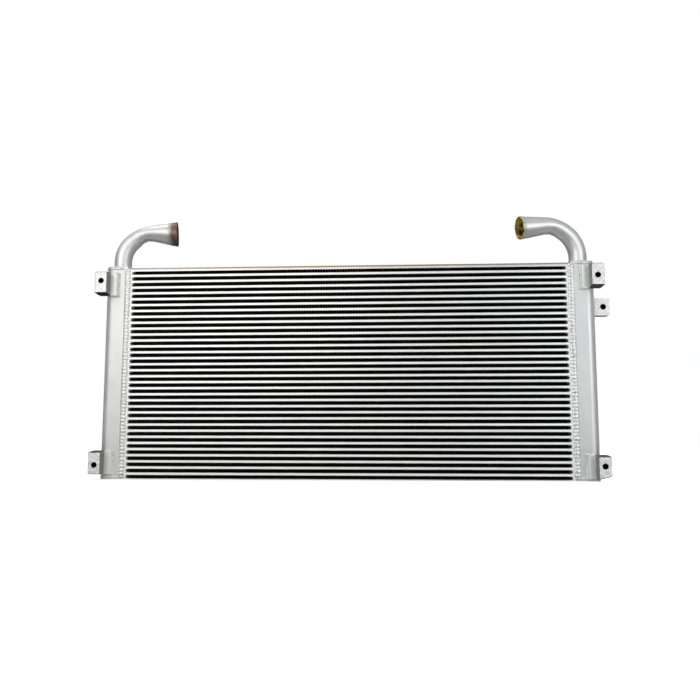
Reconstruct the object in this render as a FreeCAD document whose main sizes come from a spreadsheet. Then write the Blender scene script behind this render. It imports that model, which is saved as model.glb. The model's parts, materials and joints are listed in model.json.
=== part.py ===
import FreeCAD, Part

import math
import os

import Sketcher

# Hydraulic oil cooler, brazed bar-and-plate type, in millimetres.
# X runs along the core, the front face looks towards -Y, Z is up.
# The origin is the middle of the underside that the cooler stands on.

DIMENSIONS = {
    # Core: layers from the bottom up are plate, air, sheet, oil, sheet, air and so on, then a plate.
    "core_length": 968.0,
    "core_depth": 64.0,
    "air_layers": 35,
    "air_height": 7.2,
    "oil_height": 4.325,
    "sheet_thickness": 0.8,
    "top_plate": 7.55,
    "bottom_plate": 2.0,
    "oil_bar_width": 8.0,
    "end_bar_width": 12.0,
    "end_bar_hollow": 6.0,
    # Folded sheet inside the layers.
    "fold_spacing": 20.0,
    "fold_thickness": 0.8,
    "fin_recess": 1.5,
    "fold_gap": 1.0,
    # Tanks, with a closing cap at each end.
    "tank_reach": 51.0,
    "tank_wall": 5.0,
    "tank_corner": 18.0,
    "cap_thickness": 5.0,
    "cap_rise": 4.0,
    "weld_width": 14.0,
    "weld_rise": 2.5,
    # Pipes: a riser, a bend, a straight leg, a widening swage and a parallel end for the hose.
    "pipe_outer": 38.0,
    "pipe_wall": 3.0,
    "pipe_offset": 24.0,
    "bend_radius": 68.0,
    "swage_length": 36.0,
    "hose_end_outer": 51.0,
    "hose_end_length": 16.0,
    "collar": 5.0,
    "left_riser": 22.5,
    "left_leg": 1.0,
    "left_droop": -2.5,
    "left_turn": 13.0,
    "right_riser": 19.0,
    "right_leg": 4.0,
    "right_droop": 6.0,
    "right_turn": 191.0,
    # Mounting lugs: a thin rounded foot on the tank's front and a thick block with a blind bolt
    # hole. One end of the block slopes, so that it is taller at the tank. The lower right block's
    # low end is slanted too, upwards to its outer side, and its hole is further from that end.
    "lug_foot": 16.0,
    "lug_foot_thickness": 8.0,
    "lug_foot_round": 5.0,
    "lug_depth": 28.0,
    "lug_reach": 43.0,
    "lug_height": 49.5,
    "lug_slope": 4.0,
    "lug_slant": 6.0,
    "lug_edge": 2.0,
    "lug_corner": 4.0,
    "lug_inset": 31.0,
    "bolt_hole": 12.0,
    "bolt_hole_depth": 24.0,
    "bolt_from_foot": 29.0,
    "bolt_from_face_end": 20.0,
    "bolt_from_slanted_end": 27.0,
    "lower_bolt_height": 32.0,
    "upper_bolt_height": 430.0,
    # Fillet welds round the lugs' feet.
    "lug_weld_width": 4.0,
    "lug_weld_rise": 4.0,
    "lug_weld_crest": 1.0,
    # Extra tab on the side of the right tank.
    "tab_thickness": 18.0,
    "tab_reach": 35.0,
    "tab_height": 38.0,
    "tab_bolt_depth": 14.0,
    "tab_bolt_reach": 21.0,
    "tab_bolt_height": 370.0,
}

OIL_LAYERS = "(Dims.air_layers - 1)"
PITCH = "(Dims.air_height + Dims.oil_height + 2 * Dims.sheet_thickness)"
CORE_HEIGHT = f"(Dims.bottom_plate + Dims.air_height + {OIL_LAYERS} * {PITCH} + Dims.top_plate)"
TANK_TOP = f"({CORE_HEIGHT} + Dims.cap_rise)"
HALF_LENGTH = "Dims.core_length / 2"
HALF_DEPTH = "Dims.core_depth / 2"
FIRST_SHEET = "Dims.bottom_plate + Dims.air_height"
FIRST_OIL = f"{FIRST_SHEET} + Dims.sheet_thickness"

UPRIGHT = FreeCAD.Vector(0, 0, 1)
ACROSS = FreeCAD.Vector(0, 1, 0)

doc = FreeCAD.newDocument("OilCooler")
sheet = doc.addObject("Spreadsheet::Sheet", "Dims")
for row, (alias, value) in enumerate(DIMENSIONS.items(), start=1):
    sheet.set(f"A{row}", alias)
    sheet.set(f"B{row}", str(value))
    sheet.setAlias(f"B{row}", alias)
doc.recompute()

parts = []


def size(alias):
    """The value of one cell of the sheet."""
    return float(sheet.get(alias))


def bind(item, **expressions):
    """Bind properties of an object to expressions over the sheet."""
    for name, expression in expressions.items():
        item.setExpression(name, expression)


def place(item, x="0", y="0", z="0", turn=0.0, about=UPRIGHT):
    """Put a sub-part at a bound position, turned by an angle in degrees."""
    item.Placement = FreeCAD.Placement(FreeCAD.Vector(), FreeCAD.Rotation(about, turn))
    for axis, expression in zip("xyz", (x, y, z)):
        item.setExpression(f"Placement.Base.{axis}", expression)


def keep(item, label):
    """Give a sub-part its name and list it for export."""
    item.Label = label
    parts.append(item)
    return item


# Sketches and bodies


def new_body(label):
    return keep(doc.addObject("PartDesign::Body", label), label)


def origin_feature(body, role):
    return next(item for item in body.Origin.OriginFeatures if item.Role == role)


def new_sketch(body, plane):
    sketch = body.newObject("Sketcher::SketchObject", "Sketch")
    sketch.AttachmentSupport = [(origin_feature(body, plane), "")]
    sketch.MapMode = "FlatFace"
    return sketch


def hold_point(sketch, element, point, x, y):
    """Fix a point of an element (1 is its start, 3 its centre) at (x, y), both expressions."""
    for kind, axis, expression in (("DistanceX", -2, x), ("DistanceY", -1, y)):
        if expression == "0":
            on_axis = Sketcher.Constraint("PointOnObject", element, point, axis)
            sketch.addConstraint(on_axis)
            continue
        distance = Sketcher.Constraint(kind, -1, 1, element, point, 10.0)
        index = sketch.addConstraint(distance)
        sketch.setExpression(f"Constraints[{index}]", expression)


def draw_outline(sketch, corners):
    """Draw a closed outline through bound corners, from a rough ring that the bindings pull true."""
    count = len(corners)
    ring = [2 * math.pi * i / count for i in range(count)]
    rough = [FreeCAD.Vector(10 * math.cos(a) + 20, 10 * math.sin(a) + 20, 0) for a in ring]
    sides = [Part.LineSegment(rough[i], rough[(i + 1) % count]) for i in range(count)]
    sketch.addGeometry(sides, False)
    for i in range(count):
        sketch.addConstraint(Sketcher.Constraint("Coincident", i, 2, (i + 1) % count, 1))
    for i, (x, y) in enumerate(corners):
        hold_point(sketch, i, 1, x, y)


def draw_circle(sketch, diameter, x="0", y="0"):
    """Draw a circle of a bound diameter about a bound centre."""
    index = sketch.addGeometry(Part.Circle(FreeCAD.Vector(1, 1, 0), UPRIGHT, 5.0), False)
    across = sketch.addConstraint(Sketcher.Constraint("Diameter", index, 10.0))
    sketch.setExpression(f"Constraints[{across}]", diameter)
    hold_point(sketch, index, 3, x, y)


def pad(body, sketch, length, reverse=False):
    feature = body.newObject("PartDesign::Pad", "Pad")
    feature.Profile = sketch
    feature.Reversed = reverse
    bind(feature, Length=length)
    doc.recompute()
    return feature


def drill(body, sketch, upwards=False, depth=None):
    """Cut a sketch through the body, or to a depth, and make sure that it removed something."""
    before = body.Shape.Volume
    feature = body.newObject("PartDesign::Pocket", "Pocket")
    feature.Profile = sketch
    feature.Reversed = upwards
    if depth:
        bind(feature, Length=depth)
    else:
        feature.Type = "ThroughAll"
    doc.recompute()
    if body.Shape.Volume > before - 1.0:
        raise ValueError(f"the pocket in {body.Label} cuts nothing")
    return feature


def pick_edges(body, wanted):
    """The body's tip with the names of its edges that a test of their two ends picks out."""
    names = []
    for number, edge in enumerate(body.Tip.Shape.Edges, start=1):
        if len(edge.Vertexes) == 2 and wanted(*(vertex.Point for vertex in edge.Vertexes)):
            names.append(f"Edge{number}")
    if not names:
        raise ValueError(f"{body.Label} has no such edge")
    return body.Tip, names


def round_edges(body, radius, wanted):
    picked = pick_edges(body, wanted)
    feature = body.newObject("PartDesign::Fillet", "Fillet")
    feature.Base = picked
    bind(feature, Radius=radius)
    doc.recompute()


def slope_edges(body, width, wanted):
    picked = pick_edges(body, wanted)
    feature = body.newObject("PartDesign::Chamfer", "Chamfer")
    feature.Base = picked
    bind(feature, Size=width)
    doc.recompute()


def repeat_upwards(body, features, count):
    """Repeat features up the stack, one layer pitch apart."""
    pattern = body.newObject("PartDesign::LinearPattern", "Layers")
    pattern.Originals = features
    pattern.Direction = (origin_feature(body, "Z_Axis"), [""])
    bind(pattern, Length=f"({count} - 1) * {PITCH}", Occurrences=count)
    body.Tip = pattern
    doc.recompute()


# Core


def side_plate(label, thickness, z):
    plate = keep(doc.addObject("Part::Box", label), label)
    bind(plate, Length="Dims.core_length", Width="Dims.core_depth", Height=thickness)
    place(plate, f"-{HALF_LENGTH}", f"-{HALF_DEPTH}", z)


def flat_layers(label, width, height, y, z):
    """Long flat strips of the core's full length, one for each oil layer."""
    body = new_body(label)
    sketch = new_sketch(body, "XY_Plane")
    corners = [("0", "0"), ("Dims.core_length", "0"), ("Dims.core_length", width), ("0", width)]
    draw_outline(sketch, corners)
    repeat_upwards(body, [pad(body, sketch, height)], OIL_LAYERS)
    place(body, f"-{HALF_LENGTH}", y, z)


def end_bars(label, x, turn, y):
    """Short bars that close the air layers beside a tank. Their inner side is hollow."""
    body = new_body(label)
    sketch = new_sketch(body, "XZ_Plane")
    width, height = "Dims.end_bar_width", "Dims.air_height"
    draw_outline(sketch, [("0", "0"), (width, "0"), (width, height), ("0", height)])
    bar = pad(body, sketch, "Dims.core_depth", reverse=True)
    hollow = new_sketch(body, "XZ_Plane")
    draw_circle(hollow, "Dims.end_bar_hollow", "0", f"{height} / 2")
    repeat_upwards(body, [bar, drill(body, hollow)], "Dims.air_layers")
    place(body, x, y, "Dims.bottom_plate", turn)


def folded_sheets(label, length, depth, height, count, first_z):
    """Sheets folded to a square wave, one in each layer."""
    spacing = size("fold_spacing")
    thickness = size("fold_thickness")
    folds = round(length / spacing)
    stops = [-length / 2 + length * i / folds for i in range(folds + 1)]
    upper, lower = [], []
    for i in range(folds):
        high = i % 2 == 0
        grow = thickness / 2 if high else -thickness / 2
        top = height if high else thickness
        for outline, spread, z in ((upper, grow, top), (lower, -grow, top - thickness)):
            outline.append((max(stops[i] - spread, stops[0]), z))
            outline.append((min(stops[i + 1] + spread, stops[-1]), z))
    corners = [FreeCAD.Vector(x, -depth / 2, z) for x, z in upper + lower[::-1]]
    outline = Part.makePolygon(corners + corners[:1])
    layer = Part.Face(outline).extrude(ACROSS * depth)
    pitch = size("air_height") + size("oil_height") + 2 * size("sheet_thickness")
    copies = [layer.translated(UPRIGHT * pitch * i) for i in range(count)]
    item = keep(doc.addObject("Part::Feature", label), label)
    item.Shape = Part.makeCompound(copies)
    item.Placement = FreeCAD.Placement(UPRIGHT * first_z, FreeCAD.Rotation())


def core():
    side_plate("bottom_side_plate", "Dims.bottom_plate", "0")
    side_plate("top_side_plate", "Dims.top_plate", f"{CORE_HEIGHT} - Dims.top_plate")
    front, depth = f"-{HALF_DEPTH}", "Dims.core_depth"
    above_oil = f"{FIRST_OIL} + Dims.oil_height"
    flat_layers("lower_parting_sheets", depth, "Dims.sheet_thickness", front, FIRST_SHEET)
    flat_layers("upper_parting_sheets", depth, "Dims.sheet_thickness", front, above_oil)
    bar = "Dims.oil_bar_width"
    flat_layers("front_oil_bars", bar, "Dims.oil_height", front, FIRST_OIL)
    flat_layers("back_oil_bars", bar, "Dims.oil_height", f"{HALF_DEPTH} - {bar}", FIRST_OIL)
    nose = f"{HALF_LENGTH} - Dims.end_bar_width"
    end_bars("right_end_bars", nose, 0.0, front)
    end_bars("left_end_bars", f"-({nose})", 180.0, HALF_DEPTH)
    gap = 2 * size("fold_gap")
    air = int(size("air_layers"))
    first_air = size("bottom_plate")
    first_oil = first_air + size("air_height") + size("sheet_thickness")
    air_length = size("core_length") - 2 * size("end_bar_width") - gap
    air_depth = size("core_depth") - 2 * size("fin_recess")
    folded_sheets("air_fins", air_length, air_depth, size("air_height"), air, first_air)
    oil_length = size("core_length") - gap
    oil_depth = size("core_depth") - 2 * size("oil_bar_width") - gap
    oil_height = size("oil_height")
    folded_sheets("oil_turbulators", oil_length, oil_depth, oil_height, air - 1, first_oil)


# Tanks


def is_upright(first, second):
    """Whether an edge between two points stands upright."""
    return abs(first.z - second.z) > 4


def outer_upright(first, second):
    """An upright edge on the side of a tank that is away from the core."""
    return is_upright(first, second) and first.x > size("tank_reach") - 0.1


def inner_upright(first, second):
    """An upright edge inside a tank, away from the core."""
    inner = size("tank_reach") - size("tank_wall")
    return is_upright(first, second) and abs(first.x - inner) < 0.1


def tank_shell(label, x, y, turn):
    """A channel with rounded outer corners, open towards the core."""
    body = new_body(label)
    reach, depth, wall = "Dims.tank_reach", "Dims.core_depth", "Dims.tank_wall"
    corners = [
        ("0", "0"),
        (reach, "0"),
        (reach, depth),
        ("0", depth),
        ("0", f"{depth} - {wall}"),
        (f"{reach} - {wall}", f"{depth} - {wall}"),
        (f"{reach} - {wall}", wall),
        ("0", wall),
    ]
    sketch = new_sketch(body, "XY_Plane")
    draw_outline(sketch, corners)
    pad(body, sketch, f"{TANK_TOP} - 2 * Dims.cap_thickness")
    round_edges(body, "Dims.tank_corner", outer_upright)
    round_edges(body, f"Dims.tank_corner - {wall}", inner_upright)
    place(body, x, y, "Dims.cap_thickness", turn)


def tank_cap(label, x, y, z, turn, with_hole):
    """A plate with the tank's outline. The upper ones have a hole for the pipe."""
    body = new_body(label)
    reach, depth = "Dims.tank_reach", "Dims.core_depth"
    sketch = new_sketch(body, "XY_Plane")
    draw_outline(sketch, [("0", "0"), (reach, "0"), (reach, depth), ("0", depth)])
    pad(body, sketch, "Dims.cap_thickness")
    round_edges(body, "Dims.tank_corner", outer_upright)
    if with_hole:
        hole = new_sketch(body, "XY_Plane")
        draw_circle(hole, "Dims.pipe_outer", "Dims.pipe_offset", HALF_DEPTH)
        drill(body, hole, upwards=True)
    place(body, x, y, z, turn)


def tank_weld(label, x, y, turn):
    """A low rounded bead over the joint between a tank and the core."""
    body = new_body(label)
    width, rise = "Dims.weld_width", "Dims.weld_rise"
    sketch = new_sketch(body, "XY_Plane")
    corners = [("0", "0"), (width, "0"), (f"{width} * 0.8", rise), (f"{width} * 0.2", rise)]
    draw_outline(sketch, corners)
    pad(body, sketch, CORE_HEIGHT)
    place(body, x, y, "0", turn)


def tanks():
    upper = f"{TANK_TOP} - Dims.cap_thickness"
    bead = "Dims.weld_width / 2"
    sides = (
        ("right", HALF_LENGTH, f"-{HALF_DEPTH}", 0.0),
        ("left", f"-{HALF_LENGTH}", HALF_DEPTH, 180.0),
    )
    for side, x, y, turn in sides:
        tank_shell(f"{side}_tank", x, y, turn)
        tank_cap(f"{side}_bottom_cap", x, y, "0", turn, with_hole=False)
        tank_cap(f"{side}_top_cap", x, y, upper, turn, with_hole=True)
        tank_weld(f"front_{side}_weld", f"{x} + {bead}", f"-{HALF_DEPTH}", 180.0)
        tank_weld(f"back_{side}_weld", f"{x} - {bead}", HALF_DEPTH, 0.0)


# Pipes


def pipe(side, x, turn):
    """A bent pipe that stands in the tank's cap and ends in a wider stretch for the hose."""
    label = f"{side}_pipe"
    body = new_body(label)
    radius, riser, leg = size("bend_radius"), size(f"{side}_riser"), size(f"{side}_leg")
    droop = math.radians(size(f"{side}_droop"))
    middle = FreeCAD.Vector(radius, riser, 0)
    ahead = FreeCAD.Vector(math.cos(droop), -math.sin(droop), 0)
    outward = FreeCAD.Vector(math.sin(droop), math.cos(droop), 0)
    foot = FreeCAD.Vector(0, riser, 0)
    bend_end = middle + outward * radius
    halfway = (math.pi / 2 + droop) / 2
    bend_middle = middle + FreeCAD.Vector(-math.cos(halfway), math.sin(halfway), 0) * radius

    route = new_sketch(body, "XZ_Plane")
    route.addGeometry(Part.LineSegment(FreeCAD.Vector(), foot), False)
    route.addGeometry(Part.Arc(foot, bend_middle, bend_end), False)
    route.addGeometry(Part.LineSegment(bend_end, bend_end + ahead * leg), False)

    section = new_sketch(body, "XY_Plane")
    draw_circle(section, "Dims.pipe_outer")
    draw_circle(section, "Dims.pipe_outer - 2 * Dims.pipe_wall")
    doc.recompute()
    tube = body.newObject("PartDesign::AdditivePipe", "Tube")
    tube.Profile = section
    tube.Spine = route
    doc.recompute()

    mouth = new_sketch(body, "XZ_Plane")
    start = bend_end + ahead * leg
    mouth.AttachmentOffset = FreeCAD.Placement(
        start, FreeCAD.Rotation(UPRIGHT, -size(f"{side}_droop"))
    )
    narrow, wide, wall = "Dims.pipe_outer / 2", "Dims.hose_end_outer / 2", "Dims.pipe_wall"
    swage = "Dims.swage_length"
    end = f"{swage} + Dims.hose_end_length"
    corners = [
        ("0", f"{narrow} - {wall}"),
        (swage, f"{wide} - {wall}"),
        (end, f"{wide} - {wall}"),
        (end, wide),
        (swage, wide),
        ("0", narrow),
    ]
    draw_outline(mouth, corners)
    flare = body.newObject("PartDesign::Revolution", "Flare")
    flare.Profile = mouth
    flare.ReferenceAxis = (mouth, ["H_Axis"])
    flare.Angle = 360.0
    doc.recompute()
    place(body, x, "0", f"{TANK_TOP} - Dims.cap_thickness", turn)


def pipe_weld(side, x):
    """The fillet of weld around a pipe's foot."""
    body = new_body(f"{side}_pipe_weld")
    sketch = new_sketch(body, "XZ_Plane")
    inner = "Dims.pipe_outer / 2"
    draw_outline(sketch, [(inner, "0"), (f"{inner} + Dims.collar", "0"), (inner, "Dims.collar")])
    ring = body.newObject("PartDesign::Revolution", "Ring")
    ring.Profile = sketch
    ring.ReferenceAxis = (sketch, ["V_Axis"])
    ring.Angle = 360.0
    doc.recompute()
    place(body, x, "0", TANK_TOP)


def pipes():
    for side, sign in (("left", "-"), ("right", "")):
        x = f"{sign}({HALF_LENGTH} + Dims.pipe_offset)"
        pipe(side, x, size(f"{side}_turn"))
        pipe_weld(side, x)


# Lugs


def lug(label, x, z, turn, slope_low, bolt, slanted=False):
    """A block with a foot. Turned half round the Y axis, it serves the other side.

    slope_low says that the block slopes at its low end, before the turn, and not at its high end.
    bolt is the bolt hole's height above the low end, before the turn. slanted says that the block
    is cut at a slant from its low end to its outer side.
    """
    body = new_body(label)
    thin, foot, depth = "Dims.lug_foot_thickness", "Dims.lug_foot", "Dims.lug_depth"
    reach, height = "Dims.lug_reach", "Dims.lug_height"
    corners = [
        ("0", f"{depth} - {thin}"),
        (foot, f"{depth} - {thin}"),
        (foot, "0"),
        (reach, "0"),
        (reach, depth),
        ("0", depth),
    ]
    outline = new_sketch(body, "XY_Plane")
    draw_outline(outline, corners)
    pad(body, outline, height)
    if slanted:
        slant = new_sketch(body, "XZ_Plane")
        draw_outline(slant, [(foot, "0"), (reach, "0"), (reach, "Dims.lug_slant")])
        drill(body, slant)

    def at_outer_corner(first, second):
        across = abs(first.y - second.y) > 4
        return across and first.x > size("lug_reach") - 0.1

    def at_foot(first, second):
        return is_upright(first, second) and first.x < 0.1 and first.y < size("lug_depth") - 0.1

    round_edges(body, "Dims.lug_corner", at_outer_corner)
    round_edges(body, "Dims.lug_foot_round", at_foot)

    end, inner = ("0", "Dims.lug_slope") if slope_low else (height, f"{height} - Dims.lug_slope")
    slope = new_sketch(body, "YZ_Plane")
    draw_outline(slope, [(f"{depth} - {thin}", end), ("0", inner), ("0", end)])
    drill(body, slope, upwards=True)

    def at_front(first, second):
        return is_upright(first, second) and max(first.y, second.y) < 0.1

    round_edges(body, "Dims.lug_edge", at_front)
    hole = new_sketch(body, "XZ_Plane")
    draw_circle(hole, "Dims.bolt_hole", "Dims.bolt_from_foot", bolt)
    drill(body, hole, depth="Dims.bolt_hole_depth")
    place(body, x, f"-{HALF_DEPTH} - {depth}", z, turn, about=ACROSS)


def side_tab():
    """A block on the side of the right tank, with a blind bolt hole in its front."""
    body = new_body("side_tab")
    reach, height = "Dims.tab_reach", "Dims.tab_height"
    outline = new_sketch(body, "XZ_Plane")
    draw_outline(outline, [("0", "0"), (reach, "0"), (reach, height), ("0", height)])
    pad(body, outline, "Dims.tab_thickness", reverse=True)

    def at_tip(first, second):
        across = abs(first.y - second.y) > 4
        return across and first.x > size("tab_reach") - 0.1

    round_edges(body, "Dims.lug_corner", at_tip)
    hole = new_sketch(body, "XZ_Plane")
    draw_circle(hole, "Dims.bolt_hole", "Dims.tab_bolt_reach", f"{height} / 2")
    drill(body, hole, depth="Dims.tab_bolt_depth")
    side = f"{HALF_LENGTH} + Dims.tank_reach"
    place(body, side, "-Dims.tab_thickness / 2", f"Dims.tab_bolt_height - {height} / 2")


def lug_weld(label, x, z, turn):
    """Weld round the three free edges of a lug's foot, with sloping flanks."""
    body = new_body(label)
    width, rise = "Dims.lug_weld_width", "Dims.lug_weld_rise"
    foot, height = "Dims.lug_foot", "Dims.lug_height"
    low, high = f"-{width}", f"{height} + {width}"
    outline = new_sketch(body, "XZ_Plane")
    draw_outline(outline, [(low, low), (foot, low), (foot, high), (low, high)])
    pad(body, outline, rise, reverse=True)
    corner = new_sketch(body, "XZ_Plane")
    draw_outline(corner, [("0", "0"), (f"{foot} + 1", "0"), (f"{foot} + 1", height), ("0", height)])
    drill(body, corner)

    def at_flank(first, second):
        outside = min(first.z, second.z) < -1 or max(first.z, second.z) > size("lug_height") + 1
        far_apart = first.distanceToPoint(second) > 2 * size("lug_weld_width")
        return outside and far_apart and max(first.y, second.y) < 0.1

    slope_edges(body, f"{width} - Dims.lug_weld_crest", at_flank)
    place(body, x, f"-{HALF_DEPTH} - {rise}", z, turn, about=ACROSS)


def tab_weld():
    """Weld all round the root of the side tab, with sloping flanks."""
    body = new_body("side_tab_weld")
    width, rise = "Dims.lug_weld_width", "Dims.lug_weld_rise"
    thick, height = "Dims.tab_thickness", "Dims.tab_height"
    low, right, high = f"-{width}", f"{thick} + {width}", f"{height} + {width}"
    outline = new_sketch(body, "YZ_Plane")
    draw_outline(outline, [(low, low), (right, low), (right, high), (low, high)])
    pad(body, outline, rise)
    root = new_sketch(body, "YZ_Plane")
    draw_outline(root, [("0", "0"), (thick, "0"), (thick, height), ("0", height)])
    drill(body, root, upwards=True)

    def at_flank(first, second):
        outside = min(first.z, second.z) < -1 or max(first.z, second.z) > size("tab_height") + 1
        return outside and min(first.x, second.x) > size("lug_weld_rise") - 0.1

    slope_edges(body, f"{width} - Dims.lug_weld_crest", at_flank)
    side = f"{HALF_LENGTH} + Dims.tank_reach"
    place(body, side, "-Dims.tab_thickness / 2", f"Dims.tab_bolt_height - {height} / 2")


def lugs():
    """The four lugs and their welds. Each lug slopes at its end towards the tank's middle height."""
    foot = f"({HALF_LENGTH} + Dims.tank_reach - Dims.lug_inset)"
    near, slope = "Dims.bolt_from_face_end", "Dims.lug_slope"
    far = f"(Dims.lug_height - {near})"
    for level in ("lower", "upper"):
        low = level == "lower"
        right_bolt = "Dims.bolt_from_slanted_end" if low else f"({slope} + {near})"
        left_bolt = far if low else near
        bolt_height = f"Dims.{level}_bolt_height"
        bottom, top = f"{bolt_height} - {right_bolt}", f"{bolt_height} + {left_bolt}"
        lug(f"{level}_right_lug", foot, bottom, 0.0, not low, right_bolt, slanted=low)
        lug_weld(f"{level}_right_lug_weld", foot, bottom, 0.0)
        lug(f"{level}_left_lug", f"-{foot}", top, 180.0, low, left_bolt)
        lug_weld(f"{level}_left_lug_weld", f"-{foot}", top, 180.0)


def check():
    """Stop before anything is written if an object failed or a shape isn't sound."""
    for item in doc.Objects:
        if "Invalid" in item.State or "Error" in item.State:
            raise ValueError(f"{item.Name} ({item.Label}) failed: {item.State}")
    for item in parts:
        if item.Shape.isNull() or not item.Shape.isValid() or not item.Shape.Solids:
            raise ValueError(f"{item.Label} has no sound shape")


core()
tanks()
pipes()
lugs()
side_tab()
tab_weld()
doc.recompute()
check()
os.makedirs("parts", exist_ok=True)
for item in parts:
    item.Shape.exportStep(f"parts/{item.Label}.step")
    print(item.Label, len(item.Shape.Solids), round(item.Shape.Volume))
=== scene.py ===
import json
import math

import bpy
import numpy as np
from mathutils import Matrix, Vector


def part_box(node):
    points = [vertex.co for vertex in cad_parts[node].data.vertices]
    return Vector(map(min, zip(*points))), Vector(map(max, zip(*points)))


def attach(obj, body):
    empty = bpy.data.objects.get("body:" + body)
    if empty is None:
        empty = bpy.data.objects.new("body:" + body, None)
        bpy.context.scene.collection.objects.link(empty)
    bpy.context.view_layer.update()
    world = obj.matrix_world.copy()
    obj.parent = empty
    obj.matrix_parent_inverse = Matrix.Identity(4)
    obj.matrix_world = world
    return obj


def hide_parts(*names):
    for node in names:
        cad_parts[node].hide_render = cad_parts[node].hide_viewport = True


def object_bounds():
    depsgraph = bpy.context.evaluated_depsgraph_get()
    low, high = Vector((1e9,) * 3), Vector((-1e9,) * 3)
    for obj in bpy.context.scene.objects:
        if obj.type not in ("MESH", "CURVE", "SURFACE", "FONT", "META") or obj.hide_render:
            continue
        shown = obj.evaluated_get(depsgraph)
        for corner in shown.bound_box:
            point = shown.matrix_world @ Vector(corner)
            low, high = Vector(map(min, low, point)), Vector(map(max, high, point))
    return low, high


# A hydraulic oil cooler of the bar-and-plate type, in metres. X runs along the core, the front
# face looks towards -Y, and Z is up.

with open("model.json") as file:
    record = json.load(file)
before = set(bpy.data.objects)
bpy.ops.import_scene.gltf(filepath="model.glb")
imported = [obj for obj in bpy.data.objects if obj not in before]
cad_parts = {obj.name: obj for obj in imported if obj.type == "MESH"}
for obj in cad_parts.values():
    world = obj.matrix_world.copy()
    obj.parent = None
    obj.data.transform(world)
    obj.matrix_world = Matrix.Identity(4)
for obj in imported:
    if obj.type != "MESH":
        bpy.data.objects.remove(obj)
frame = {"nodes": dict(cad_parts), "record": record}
CAD_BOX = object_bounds()
NODES = frame["nodes"]
MOUNTS = {mount["name"]: mount for mount in frame["record"]["mounts"]}
SIDES = (("left", -1), ("right", 1))
MM = 0.001
WHITE = (1.0, 1.0, 1.0)


# Camera and lights


def aim(item, place, target):
    """Put a camera or a light at a place and turn it to look at a target, without roll."""
    item.location = place
    item.rotation_mode = "QUATERNION"
    item.rotation_quaternion = (Vector(target) - Vector(place)).to_track_quat("-Z", "Y")
    bpy.context.scene.collection.objects.link(item)


# The camera is fitted to the photo's view. Sensor and lens are in millimetres.
SENSOR_WIDTH = 36.0
LENS = 36.0
CAMERA_PLACE = (0.0946, -1.530, 0.1127)
CAMERA_TARGET = (0.0100, -0.032, 0.277)


def add_camera():
    data = bpy.data.cameras.new("camera")
    data.sensor_width = SENSOR_WIDTH
    data.lens = LENS
    camera = bpy.data.objects.new("camera", data)
    aim(camera, CAMERA_PLACE, CAMERA_TARGET)
    bpy.context.scene.camera = camera


# Each softbox's place, target, width, height, power in watts, tint, and whether metal mirrors it.
SOFTBOXES = {
    "key": ((-1.2, -2.4, 1.1), (0.0, 0.0, 0.25), 2.6, 1.8, 28.0, (1.0, 0.99, 0.96), True),
    "fill": ((1.8, -2.0, 0.7), (0.2, 0.0, 0.25), 1.4, 1.4, 15.0, (0.94, 0.97, 1.0), True),
    "top": ((-0.2, -0.2, 2.0), (0.0, 0.0, 0.3), 2.2, 0.9, 10.0, WHITE, True),
    "back": ((0.8, 2.2, 1.3), (0.0, 0.0, 0.25), 1.6, 1.4, 40.0, WHITE, False),
    "left_wing": ((-2.4, 0.9, 0.9), (-0.5, 0.0, 0.25), 1.2, 1.2, 18.0, WHITE, False),
    "right_wing": ((2.4, 0.9, 0.9), (0.5, 0.0, 0.25), 1.2, 1.2, 18.0, WHITE, False),
}


def add_softbox(name, place, target, width, height, power, tint, mirrored):
    data = bpy.data.lights.new(name, "AREA")
    data.shape = "RECTANGLE"
    data.size = width
    data.size_y = height
    data.energy = power
    data.color = tint
    softbox = bpy.data.objects.new(name, data)
    softbox.visible_glossy = mirrored
    aim(softbox, place, target)


# What the metal mirrors beside the softboxes: the room's strength below and above, the share of it
# that is left behind the object, and the directions between which each of the two changes.
ROOM_LOW = 0.03
ROOM_HIGH = 0.36
ROOM_BEHIND = 0.30
ROOM_RISE = (-0.1, 0.75)
ROOM_DEPTH = (0.15, 0.60)
ROOM_TINT = (0.96, 0.98, 1.0)


def set_range(node, low, high, new_low, new_high):
    """Set the range that a Map Range node reads, and the one that it gives."""
    for name, value in zip(("From Min", "From Max", "To Min", "To Max"), (low, high, new_low, new_high)):
        node.inputs[name].default_value = value


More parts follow.
